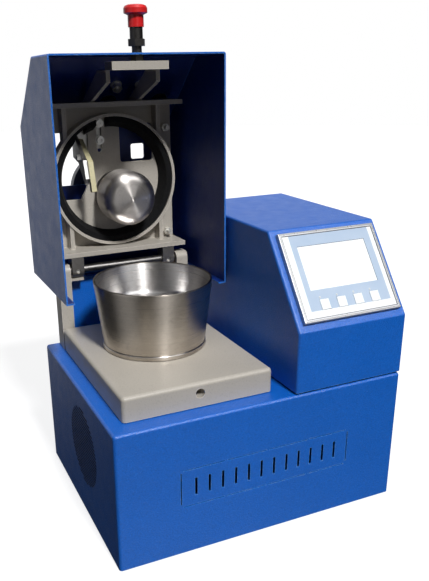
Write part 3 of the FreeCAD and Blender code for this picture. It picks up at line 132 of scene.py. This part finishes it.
class Shader:
    """A material whose pattern nodes are added one by one around a Principled shader."""

    def __init__(self, name, color, rough, metal=0.0, **sockets):
        self.material = bpy.data.materials.new(name)
        self.material.use_nodes = True
        self.tree = self.material.node_tree
        self.surface = self.tree.nodes["Principled BSDF"]
        self.color = color
        self.set(self.surface, {"Base Color": color, "Roughness": rough, "Metallic": metal})
        self.set(self.surface, sockets)
        self.spot = self.node("ShaderNodeTexCoord").outputs["Object"]
        self.bumps = None

    @staticmethod
    def set(node, values):
        for key, value in values.items():
            node.inputs[key].default_value = value

    def node(self, kind, links=None, **values):
        """Adds a node, sets its inputs by name and links others to them."""
        made = self.tree.nodes.new(kind)
        self.set(made, values)
        for key, output in (links or {}).items():
            self.tree.links.new(output, made.inputs[key])
        return made

    def stretched(self, scale, location=(0, 0, 0), rotation=(0, 0, 0)):
        """Surface coordinates seen from a place, with a scale per axis."""
        moved = self.node("ShaderNodeMapping", {"Vector": self.spot})
        moved.vector_type = "TEXTURE"
        self.set(moved, {"Location": location, "Rotation": rotation})
        sized = self.node("ShaderNodeMapping", {"Vector": moved.outputs[0]}, Scale=scale)
        return sized.outputs[0]

    def noise(self, scale, detail=2.0, where=None, rough=0.5):
        """A cloudy pattern from 0 to 1."""
        made = self.node(
            "ShaderNodeTexNoise", {"Vector": where or self.spot},
            Scale=scale, Detail=detail, Roughness=rough,
        )
        return made.outputs["Fac"]

    def band(self, value, low, high, start=0.0, end=1.0):
        """Maps low..high of a value to start..end and stays there outside."""
        made = self.node("ShaderNodeMapRange", {"Value": value})
        self.set(made, {"From Min": low, "From Max": high, "To Min": start, "To Max": end})
        return made.outputs[0]

    def tint(self, amount, color):
        """Mixes a colour over the present base colour by a pattern."""
        made = self.tree.nodes.new("ShaderNodeMix")
        made.data_type = "RGBA"
        base = self.surface.inputs["Base Color"]
        if base.is_linked:
            self.tree.links.new(base.links[0].from_socket, made.inputs[6])
        else:
            made.inputs[6].default_value = base.default_value
        made.inputs[7].default_value = color
        self.tree.links.new(amount, made.inputs["Factor"])
        self.tree.links.new(made.outputs[2], base)

    def math(self, operation, first, second):
        """Combines a pattern with another pattern or a number."""
        made = self.tree.nodes.new("ShaderNodeMath")
        made.operation = operation
        self.tree.links.new(first, made.inputs[0])
        if isinstance(second, (int, float)):
            made.inputs[1].default_value = second
        else:
            self.tree.links.new(second, made.inputs[1])
        return made.outputs[0]

    def window(self, value, low, high, soft):
        """A mask that is 1 between two values and fades to 0 outside them."""
        rise = self.band(value, low - soft, low)
        fall = self.band(value, high, high + soft, 1.0, 0.0)
        return self.math("MULTIPLY", rise, fall)

    def rectangle(self, where, x0, x1, y0, y1, soft=0.12):
        """A mask that is 1 inside a rectangle on the first two axes of a place."""
        across = self.window(where.outputs["X"], x0, x1, soft)
        return self.math("MULTIPLY", across, self.window(where.outputs["Y"], y0, y1, soft))

    def roughness(self, pattern, low, high):
        """Varies the gloss between two values by a pattern."""
        varied = self.band(pattern, 0.25, 0.75, low, high)
        self.tree.links.new(varied, self.surface.inputs["Roughness"])

    def bump(self, height, depth, strength=1.0):
        """Adds a relief, in metres, on top of those that are there."""
        made = self.node("ShaderNodeBump", {"Height": height}, Distance=depth, Strength=strength)
        if self.bumps:
            self.tree.links.new(self.bumps, made.inputs["Normal"])
        self.bumps = made.outputs[0]
        self.tree.links.new(self.bumps, self.surface.inputs["Normal"])

    def edges(self, radius):
        """A mask that is 1 on convex and concave edges and 0 on flat faces."""
        bent = self.node("ShaderNodeBevel", Radius=radius)
        bent.samples = 6
        flat = self.node("ShaderNodeNewGeometry")
        dot = self.tree.nodes.new("ShaderNodeVectorMath")
        dot.operation = "DOT_PRODUCT"
        self.tree.links.new(bent.outputs[0], dot.inputs[0])
        self.tree.links.new(flat.outputs["Normal"], dot.inputs[1])
        return self.band(dot.outputs["Value"], 0.99, 0.86)

    def outward(self, axis):
        """One part, X, Y or Z, of the direction in which the surface faces."""
        normal = self.node("ShaderNodeTexCoord").outputs["Normal"]
        return self.node("ShaderNodeSeparateXYZ", {"Vector": normal}).outputs[axis]

    def facing(self, centre):
        """A mask that is 1 where the surface looks towards a point, as inside a hood or bowl."""
        away = self.tree.nodes.new("ShaderNodeVectorMath")
        away.operation = "SUBTRACT"
        away.inputs[0].default_value = centre
        self.tree.links.new(self.spot, away.inputs[1])
        dot = self.tree.nodes.new("ShaderNodeVectorMath")
        dot.operation = "DOT_PRODUCT"
        self.tree.links.new(self.node("ShaderNodeTexCoord").outputs["Normal"], dot.inputs[0])
        self.tree.links.new(away.outputs[0], dot.inputs[1])
        return self.band(dot.outputs["Value"], 0.0, 1.0 * MM)


def powder_coat(name, color, rough=0.34, inside=None, vent=None):
    """Fine textured powder coat: pale and dark grain and orange peel, with a painted highlight
    and painted glints on its edges. Surfaces that look towards the point inside get painted
    shade, and so do the walls of the grille slots round the point vent."""
    made = Shader(name, color, rough, **{"Specular IOR Level": 0.55 if inside else 0.7})
    made.tint(made.band(made.noise(7, 3), 0.3, 0.7, 0.0, 0.3), shade(color, 0.72))
    coarse = made.noise(620, 2, rough=0.6)
    made.tint(made.band(coarse, 0.45, 0.34, 0.0, 0.35), shade(color, 0.5))
    made.tint(made.band(coarse, 0.57, 0.7, 0.0, 0.4), GRAIN)
    # painted shade: faces that look into the hood get a very dark blue, standing in for the shade inside it
    if inside:
        made.tint(made.facing(inside), srgb(4, 42, 124))
    # painted highlight: edges get a lighter blue with whitish specks, standing in for the light they catch
    rims = made.edges(1.2 * MM)
    made.tint(rims, EDGE_HIGHLIGHT)
    made.tint(made.math("MULTIPLY", rims, made.band(coarse, 0.5, 0.62)), srgb(150, 188, 236))
    # over the grille the painted edge highlight is covered by a slightly darker blue, and the slot walls get
    # painted shade, near black
    if vent:
        apart = made.tree.nodes.new("ShaderNodeVectorMath")
        apart.operation = "DISTANCE"
        apart.inputs[0].default_value = vent
        made.tree.links.new(made.spot, apart.inputs[1])
        near, far = (VENT_RADIUS - 0.5) * MM, (VENT_RADIUS + 0.5) * MM
        spot = made.band(apart.outputs["Value"], near, far, 1.0, 0.0)
        made.tint(spot, shade(color, 0.85))
        walls = made.band(made.outward("X"), -0.7, -0.5)
        made.tint(made.math("MULTIPLY", spot, walls), shade(color, 0.02))
    made.roughness(made.noise(60, 3), rough - 0.05, rough + 0.08)
    made.bump(coarse, 0.8 * MM, 0.8)
    made.bump(made.noise(1700, 2), 0.15 * MM, 0.5)
    return made.material


def frame_paint(name, color, rough=0.36):
    """Smooth grey-beige two-part paint with a faint orange peel and handling marks."""
    made = Shader(name, color, rough, **{"Specular IOR Level": 0.5})
    made.tint(made.band(made.noise(9, 4), 0.35, 0.7, 0.0, 0.3), shade(color, 0.78))
    made.tint(made.band(made.noise(700, 2), 0.5, 0.7, 0.0, 0.3), shade(color, 1.18))
    made.tint(made.band(made.noise(520, 3), 0.44, 0.34, 0.0, 0.3), shade(color, 0.6))
    # painted highlight along the edges
    made.tint(made.edges(1.0 * MM), shade(color, 1.85))
    made.roughness(made.noise(40, 4), rough - 0.05, rough + 0.1)
    made.bump(made.noise(520, 2), 0.22 * MM, 0.4)
    return made.material


def turned_steel(
    name, color, rough, axis_at, axis, fine=2600, depth=0.02, streak=0.35, stretch=0.8, inside=None,
):
    """Turned metal: fine rings round an axis, with the highlight stretched across them.
    As painted reflection, surfaces that look towards the point inside are paler, and upward ones above it dark."""
    made = Shader(name, color, rough, 1.0, **{"Anisotropic": stretch, "Anisotropic Rotation": 0.25})
    local = made.stretched((1, 1, 1), axis_at, axis)
    parts = made.node("ShaderNodeSeparateXYZ", {"Vector": local})
    radius = made.tree.nodes.new("ShaderNodeVectorMath")
    radius.operation = "LENGTH"
    flat = made.node("ShaderNodeCombineXYZ", {"X": parts.outputs["X"], "Y": parts.outputs["Y"]})
    made.tree.links.new(flat.outputs[0], radius.inputs[0])
    rings = made.node(
        "ShaderNodeCombineXYZ", {"X": radius.outputs["Value"], "Y": parts.outputs["Z"]},
    ).outputs[0]
    if inside:
        # painted reflection: faces that look into the bowl get a paler, cooler steel
        made.tint(made.facing(inside), srgb(212, 211, 211))
        # painted reflection: the flat top of the rim is darkened, as if it reflected dark surroundings
        height = made.node("ShaderNodeSeparateXYZ", {"Vector": made.spot}).outputs["Z"]
        high = made.band(height, inside.z - 1 * MM, inside.z)
        upward = made.outward("Z")
        made.tint(made.math("MULTIPLY", made.band(upward, 0.25, 0.5), high), shade(color, 0.2))
    lines = made.noise(fine, 3, rings, 0.6)
    wide = made.noise(fine / 7, 2, rings)
    made.tint(made.band(lines, 0.35, 0.7, 0.0, streak), shade(color, 0.6))
    made.tint(made.band(wide, 0.45, 0.75, 0.0, streak * 0.4), shade(color, 1.2))
    made.tint(made.band(made.noise(24, 4), 0.45, 0.75, 0.0, 0.35), shade(color, 0.66))
    made.tint(made.band(made.noise(140, 4), 0.55, 0.75, 0.0, 0.3), shade(color, 0.6))
    # painted highlight along the edges
    made.tint(made.edges(0.5 * MM), shade(color, 1.25))
    made.roughness(lines, rough - 0.05, rough + 0.1)
    made.bump(lines, depth * MM, 0.6)
    tangent = made.tree.nodes.new("ShaderNodeTangent")
    tangent.direction_type = "RADIAL"
    tangent.axis = "Z" if axis[0] == 0 else "Y"
    made.tree.links.new(tangent.outputs[0], made.surface.inputs["Tangent"])
    return made.material


def plain_steel(name, color, rough, grain=900, depth=0.02, metal=1.0):
    """Machined or plated steel with scratches and slight tarnish."""
    made = Shader(name, color, rough, metal, Anisotropic=0.25)
    scratch = made.noise(1.0, 3, made.stretched((grain, grain * 0.06, grain)), 0.6)
    made.tint(made.band(scratch, 0.4, 0.75, 0.0, 0.35), shade(color, 0.55))
    made.tint(made.band(made.noise(90, 4), 0.5, 0.75, 0.0, 0.4), shade(color, 0.7))
    # painted highlight along the edges
    made.tint(made.edges(0.4 * MM), shade(color, 1.3))
    made.roughness(made.noise(220, 3), rough - 0.07, rough + 0.14)
    made.bump(scratch, depth * MM, 0.5)
    return made.material


def moulded(name, color, rough, grain=1400, depth=0.05, coat=0.0, shine=0.5):
    """Moulded plastic or rubber with a spark-eroded grain and dusty patches."""
    made = Shader(name, color, rough, **{
        "Coat Weight": coat, "Coat Roughness": 0.15, "Specular IOR Level": shine,
    })
    made.tint(made.band(made.noise(120, 4), 0.45, 0.75, 0.0, 0.3), shade(color, 1.5))
    made.tint(made.band(made.noise(700, 2), 0.5, 0.7, 0.0, 0.2), shade(color, 0.75))
    made.roughness(made.noise(300, 3), max(0.05, rough - 0.08), rough + 0.1)
    made.bump(made.noise(grain, 2), depth * MM, 0.5)
    return made.material


def on_panel(made):
    """Coordinates of a surface in the panel's frame, in millimetres."""
    local = made.stretched((1 / MM,) * 3, PANEL.translation, PANEL.to_euler())
    return made.node("ShaderNodeSeparateXYZ", {"Vector": local})


def printed_film(name):
    """The panel's front film: white border, pale field and fine dark gaps round it and the screen;
    the gaps are darkened as painted shadow, widest along the screen's top and right.
    """
    white = srgb(243, 246, 248)
    made = Shader(name, white, 0.16, **{"Specular IOR Level": 0.3})
    where = on_panel(made)
    left, right, low, high = FILM
    to_left, to_right, to_low = BORDER
    field = made.rectangle(where, left + to_left, right - to_right, low + to_low, high + 2)
    cloud = made.band(made.noise(40, 3), 0.3, 0.7, 0.9, 1.0)
    made.tint(made.math("MULTIPLY", field, cloud), srgb(172, 191, 214))
    x0, x1, y0, y1 = SCREEN
    # painted shadow: a dark gap round the screen, wider along its top and right where the recessed screen's edge
    # casts shade
    rim = made.rectangle(where, x0 - 0.1, x1 + 0.45, y0 - 0.1, y1 + 0.5, 0.05)
    made.tint(made.math("MULTIPLY", rim, 0.85), srgb(70, 78, 92))
    # painted shadow: a dark line along the film's outer edge, in the gap to the frame
    inner = made.rectangle(where, left + 0.9, right - 0.9, low + 0.9, high - 0.9, 0.1)
    made.tint(made.band(inner, 0.0, 1.0, 1.0, 0.0), srgb(60, 62, 68))
    made.roughness(made.noise(160, 3), 0.12, 0.2)
    made.bump(made.noise(2200, 2), 0.01 * MM, 0.4)
    return made.material


def silver_rim(name):
    """Satin silver of the panel's frame, with painted shade along a step half-way across its face."""
    color = srgb(188, 189, 191)
    made = Shader(name, color, 0.3, 0.6)
    where = on_panel(made)
    left, right, low, high = FILM
    # painted shade: a dark line where the frame's face steps
    outer = made.rectangle(where, left - 2.2, right + 2.2, low - 2.2, high + 2.2, 0.05)
    inner = made.rectangle(where, left - 1.7, right + 1.7, low - 1.7, high + 1.7, 0.05)
    made.tint(made.math("SUBTRACT", outer, inner), srgb(70, 68, 68))
    made.tint(made.band(made.noise(90, 4), 0.45, 0.75, 0.0, 0.3), shade(color, 0.8))
    made.roughness(made.noise(400, 3), 0.24, 0.4)
    made.bump(made.noise(1600, 2), 0.02 * MM, 0.4)
    return made.material


mortar_at = Vector(joints["mortar_spin"]["pos_m"])
pestle_at = Vector(joints["pestle_spin"]["pos_m"])
lean = math.asin(joints["pestle_press"]["axis"][2])
UPRIGHT, LEVEL = (0, 0, 0), (math.pi / 2 + lean, 0, 0)

BLUE = srgb(8, 99, 200)
# GRAIN is the powder coat's pale grain; the second colour is a painted highlight for its edges
GRAIN, EDGE_HIGHLIGHT = srgb(30, 124, 224), srgb(52, 138, 230)
MATERIALS = {
    "blue_paint": powder_coat("blue_powder_coat", BLUE),
    "beige_paint": frame_paint("warm_grey_paint", srgb(182, 176, 166)),
    "brushed_steel": turned_steel("turned_stainless", srgb(204, 195, 184), 0.3, mortar_at, UPRIGHT),
    "polished_steel": plain_steel("ground_steel", srgb(190, 188, 186), 0.22, 500, 0.005),
    "plain_steel": plain_steel("machined_steel", srgb(176, 174, 172), 0.33),
    "black_rubber": moulded("black_rubber", srgb(10, 10, 12), 0.9, 900, 0.12, shine=0.3),
    "black_plastic": moulded("black_plastic", srgb(26, 27, 30), 0.42),
    "red_plastic": moulded("red_plastic", srgb(218, 34, 36), 0.34, 1100, 0.05, 0.2),
    "scraper_plastic": moulded("scraper_plastic", srgb(198, 190, 150), 0.42, 700, 0.1),
    "silver_frame": silver_rim("satin_silver"),
    "panel_film": printed_film("printed_film"),
    "screen_glass": moulded("screen", srgb(246, 249, 252), 0.12, 200, 0.002),
    "key_plastic": moulded("key_caps", srgb(240, 245, 250), 0.25, 1500, 0.02),
    "motor_grey": moulded("cast_grey_paint", srgb(104, 110, 118), 0.5, 500, 0.2),
    "bronze": plain_steel("sintered_bronze", srgb(176, 138, 88), 0.42, 1200, 0.04),
    "zinc_sheet": plain_steel("zinc_sheet", srgb(168, 172, 176), 0.4, 300, 0.02),
    "wheel_grey": moulded("wheel_paint", srgb(52, 58, 82), 0.35, 800, 0.08, 0.2),
}
grille = (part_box("fan_frame")[0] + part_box("fan_frame")[1]) / 2
grille.x = cad_low.x
matt_black = moulded("matt_black_plastic", srgb(9, 9, 11), 0.8, shine=0.1)
SPECIAL = {
    "fan_frame": matt_black, "fan_rotor": matt_black,
    # the walls of the grille slots get painted shade
    "base_housing": powder_coat("base_powder_coat", BLUE, vent=grille),
    # the hood's inner faces get painted shade
    "hood_shell": powder_coat("hood_powder_coat", BLUE, inside=at(HOOD, *HOOD_MIDDLE)),
    "mortar_bowl": turned_steel(
        "turned_mortar_steel", srgb(204, 195, 184), 0.28, mortar_at, UPRIGHT, 2600, 0.02, 0.4, 0.85,
        inside=Vector((mortar_at.x, mortar_at.y, top_of("mortar_bowl") - RIM_BAND * MM)),
    ),
    "hood_fasteners": plain_steel("zinc_plated_steel", srgb(224, 222, 216), 0.38, 600, 0.02, 0.7),
    "scraper_screws": plain_steel("stainless_screws", srgb(224, 222, 218), 0.36, 600, 0.02, 0.75),
    "hinge_lugs": plain_steel("lug_steel", srgb(166, 162, 156), 0.45, 300, 0.02),
    "pestle": turned_steel(
        "turned_pestle_steel", srgb(214, 208, 202), 0.3, pestle_at, LEVEL, 2200, 0.01, 0.25, 0.85,
    ),
    "plunger_sleeve": plain_steel("black_oxide_steel", srgb(74, 72, 70), 0.42, 1100, 0.02),
    "hinge_shaft": plain_steel("dark_shaft_steel", srgb(112, 110, 108), 0.36, 800, 0.01),
}

for part in frame["record"]["subparts"]:
    finish = SPECIAL.get(part["node"], MATERIALS[part["material_slot"]])
    for slot in nodes[part["node"]].material_slots:
        slot.material = finish


# ------------------------------------------------------------------ small modelled pieces
ASLANT = Vector((0.31, 0.52, 0.79))    # a direction along which no weld runs


def piece(name, shape, body, finish):
    """Turns a bmesh into a smooth piece that rides on a body."""
    mesh = bpy.data.meshes.new(name)
    bmesh.ops.recalc_face_normals(shape, faces=shape.faces)
    for face in shape.faces:
        face.smooth = True
    shape.to_mesh(mesh)
    shape.free()
    made = bpy.data.objects.new(name, mesh)
    scene.collection.objects.link(made)
    mesh.materials.append(finish)
    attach(made, body)


def join_rings(shape, rings):
    """Skins a row of point rings and closes both ends."""
    loops = [[shape.verts.new(point) for point in ring] for ring in rings]
    for near, far in zip(loops, loops[1:]):
        for i in range(len(near)):
            following = (i + 1) % len(near)
            shape.faces.new((near[i], near[following], far[following], far[i]))
    shape.faces.new(loops[0])
    shape.faces.new(reversed(loops[-1]))


def add_lamp(shape, x, y, z):
    """A small domed indicator in its collar, turned on the panel's face."""
    profile = ((1.5, -0.3), (1.5, 0.12), (1.35, 0.24), (1.1, 0.24), (1.02, 0.1), (0.92, 0.12),
               (0.8, 0.4), (0.55, 0.6), (0.25, 0.68))
    turns = [2 * math.pi * i / 20 for i in range(20)]
    join_rings(shape, [
        [at(PANEL, x + r * math.cos(a), y + r * math.sin(a), z + rise) for a in turns]
        for r, rise in profile
    ])


def add_bead(shape, points, width=1.5):
    """A weld bead along a row of points in the hood's frame, rippled like stacked coins."""
    rings = []
    for i, point in enumerate(points):
        before, after = points[max(0, i - 1)], points[min(len(points) - 1, i + 1)]
        along = (after - before).normalized()
        side = along.cross(ASLANT).normalized()
        other = along.cross(side)
        end = min(i, len(points) - 1 - i)
        radius = width * (0.35, 0.8, 1.0)[min(end, 2)] * (1 + 0.1 * (i % 2))
        rings.append([
            HOOD @ ((point + (side * math.cos(a) + other * math.sin(a)) * radius) * MM)
            for a in (2 * math.pi * k / 10 for k in range(10))
        ])
    join_rings(shape, rings)


def straight(start, end, step=0.9):
    """Evenly spaced points from one point to another."""
    start, end = Vector(start), Vector(end)
    count = max(4, int((end - start).length / step))
    return [start.lerp(end, i / count) for i in range(count + 1)]


def arc(x, y, z, radius, first, last, step=0.9):
    """Points on an arc that faces the front, from one angle in degrees to another."""
    count = int(math.radians(last - first) * radius / step)
    angles = [math.radians(first + (last - first) * i / count) for i in range(count + 1)]
    return [Vector((x + radius * math.cos(a), y, z + radius * math.sin(a))) for a in angles]


def make_lamps():
    """One indicator over the left end of each key."""
    shape = bmesh.new()
    for i in range(4):
        add_lamp(shape, KEY_LEFT + 1.6 + KEY_PITCH * i, KEY_TOP + 2.8, FACE)
    lens = moulded("lamp_lens", srgb(214, 220, 226), 0.2)
    piece("key_lamps", shape, "machine", lens)


def make_welds():
    """Weld seams of the frame in the hood, under its paint."""
    shape = bmesh.new()
    for first, last in ((-78, -58), (-40, -20), (-2, 18), (205, 225), (243, 263)):
        add_bead(shape, arc(RING_X, CARRIER_Y - 0.5, RING_Z, RING_RADIUS + 0.5, first, last))
    for x in RIB_SIDES:
        for z in (LOW_CROSS + 0.4, HIGH_CROSS - 0.4):
            add_bead(shape, straight((x, RING_Y + 4, z), (x, CARRIER_Y - 2, z)), 1.3)
    for x in WEB_SIDES:
        add_bead(shape, straight((x, -3, WEB_FOOT + 0.4), (x, 26, WEB_FOOT + 0.4)), 1.4)
        add_bead(shape, straight((x, -74, LATCH_LOW - 0.4), (x, -44, LATCH_LOW - 0.4)), 1.4)
    paint = frame_paint("painted_weld", srgb(176, 170, 160))
    piece("weld_beads", shape, "hood", paint)


def make_spring():
    """The pressure spring, as its own copy of the CAD shape riding on the hood in place of the original."""
    spring = bpy.data.objects.new("spring_coil", nodes["pressure_spring"].data.copy())
    scene.collection.objects.link(spring)
    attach(spring, "hood")
    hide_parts("pressure_spring")
    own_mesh(spring)


make_lamps()
make_welds()
make_spring()


# ------------------------------------------------------------------ light, floor and camera
def area_light(name, place, target, width, height, power):
    """A rectangular lamp that points at a target."""
    light = bpy.data.lights.new(name, "AREA")
    light.shape, light.size, light.size_y = "RECTANGLE", width, height
    light.energy = power
    holder = bpy.data.objects.new(name, light)
    holder.location = place
    holder.rotation_euler = (Vector(target) - Vector(place)).to_track_quat("-Z", "Y").to_euler()
    scene.collection.objects.link(holder)


def make_world():
    """Dark surroundings with soft bright patches; the camera itself sees a white backdrop."""
    world = bpy.data.worlds.new("studio")
    world.use_nodes = True
    scene.world = world
    tree = world.node_tree
    spot = tree.nodes.new("ShaderNodeTexCoord").outputs["Generated"]
    path = tree.nodes.new("ShaderNodeLightPath")

    def combine(operation, first, second):
        made = tree.nodes.new("ShaderNodeMath")
        made.operation = operation
        tree.links.new(first, made.inputs[0])
        if isinstance(second, float):
            made.inputs[1].default_value = second
        else:
            tree.links.new(second, made.inputs[1])
        return made.outputs[0]

    def patch(towards, inner, outer, bright):
        """Brightness that fades from an inner to an outer angle round a direction."""
        dot = tree.nodes.new("ShaderNodeVectorMath")
        dot.operation = "DOT_PRODUCT"
        dot.inputs[1].default_value = Vector(towards).normalized()
        tree.links.new(spot, dot.inputs[0])
        fade = tree.nodes.new("ShaderNodeMapRange")
        fade.interpolation_type = "SMOOTHSTEP"
        tree.links.new(dot.outputs["Value"], fade.inputs["Value"])
        fade.inputs["From Min"].default_value = math.cos(math.radians(outer))
        fade.inputs["From Max"].default_value = math.cos(math.radians(inner))
        fade.inputs["To Max"].default_value = bright
        return fade.outputs[0]

    glossy = path.outputs["Is Glossy Ray"]
    total = combine("ADD", patch((0, 0.93, 0.37), 32, 55, 0.62), DIM_GLOW)
    total = combine("ADD", total, patch((0, 0, 1), 20, 60, 0.3))
    for towards, inner, outer, bright in (
        ((0.1, -0.35, -0.93), 20, 37, 0.9),      # the bench in front
        ((0.1, -1, -0.1), 8, 30, 0.22),          # the room in front
        ((-0.95, -0.27, -0.05), 10, 36, 0.5),      # a wall on the left
        ((0.45, -0.66, 0.6), 8, 22, 3.0),       # a window up on the right
    ):
        seen = combine("MULTIPLY", patch(towards, inner, outer, bright), glossy)
        total = combine("ADD", total, seen)
    light = tree.nodes["Background"]
    light.inputs["Color"].default_value = (0.97, 0.98, 1.0, 1)
    tree.links.new(total, light.inputs["Strength"])
    plain = tree.nodes.new("ShaderNodeBackground")
    plain.inputs["Color"].default_value = (1, 1, 1, 1)
    plain.inputs["Strength"].default_value = SEEN_WHITE
    mix = tree.nodes.new("ShaderNodeMixShader")
    tree.links.new(path.outputs["Is Camera Ray"], mix.inputs["Fac"])
    tree.links.new(light.outputs[0], mix.inputs[1])
    tree.links.new(plain.outputs[0], mix.inputs[2])
    tree.links.new(mix.outputs[0], tree.nodes["World Output"].inputs["Surface"])


def make_floor():
    """A wide pale floor that glows, so that it is nearly white and its shadows are faint."""
    mesh = bpy.data.meshes.new("floor")
    shape = bmesh.new()
    bmesh.ops.create_circle(shape, cap_ends=True, segments=96, radius=FLOOR_RADIUS)
    shape.to_mesh(mesh)
    shape.free()
    floor = bpy.data.objects.new("floor", mesh)
    scene.collection.objects.link(floor)
    pale = Shader("floor", (0.35, 0.35, 0.35, 1), 0.8, **{
        "Specular IOR Level": 0.1, "Emission Color": (1, 1, 1, 1), "Emission Strength": 0.78,
    })
    pale.tint(pale.band(pale.noise(3), 0.3, 0.7, 0.0, 0.3), (0.33, 0.33, 0.34, 1))
    mesh.materials.append(pale.material)
    floor.visible_diffuse = False
    floor.visible_glossy = False


def make_camera():
    """The camera stands in front of the machine, to its left, and looks down on it."""
    yaw, pitch, roll = (math.radians(a) for a in (-23.1, -20.4, -1.1))
    level = math.cos(pitch)
    ahead = Vector((-math.sin(yaw) * level, math.cos(yaw) * level, math.sin(pitch)))
    right = Vector((math.cos(yaw), math.sin(yaw), 0))
    up = right.cross(ahead)
    tilted_right = right * math.cos(roll) + up * math.sin(roll)
    tilted_up = up * math.cos(roll) - right * math.sin(roll)
    data = bpy.data.cameras.new("camera")
    data.sensor_width, data.lens = 36, 42.95
    data.shift_x, data.shift_y = 0.0733, 0.0566
    camera = bpy.data.objects.new("camera", data)
    turn = Matrix((tilted_right, tilted_up, -ahead)).transposed().to_4x4()
    camera.matrix_world = Matrix.Translation((-0.3951, -0.83056, 0.5588)) @ turn
    scene.collection.objects.link(camera)
    scene.camera = camera


def sun_light(name, towards, power, spread):
    """A distant lamp that shines in one direction, with a spread in degrees."""
    lamp = bpy.data.lights.new(name, "SUN")
    lamp.energy, lamp.angle = power, math.radians(spread)
    holder = bpy.data.objects.new(name, lamp)
    holder.rotation_euler = Vector(towards).to_track_quat("-Z", "Y").to_euler()
    scene.collection.objects.link(holder)


make_world()
make_floor()
make_camera()
sun_light("key", (-0.05, 0.68, -0.73), 3.2, 8)
area_light("strip_front", (0.01, -1.9, 0.35), (-0.08, 0, 0.25), 0.1, 1.0, 0.9)
area_light("ceiling", (-0.1, 0.1, 2.0), (0, 0, 0.2), 1.4, 1.0, 3.0)
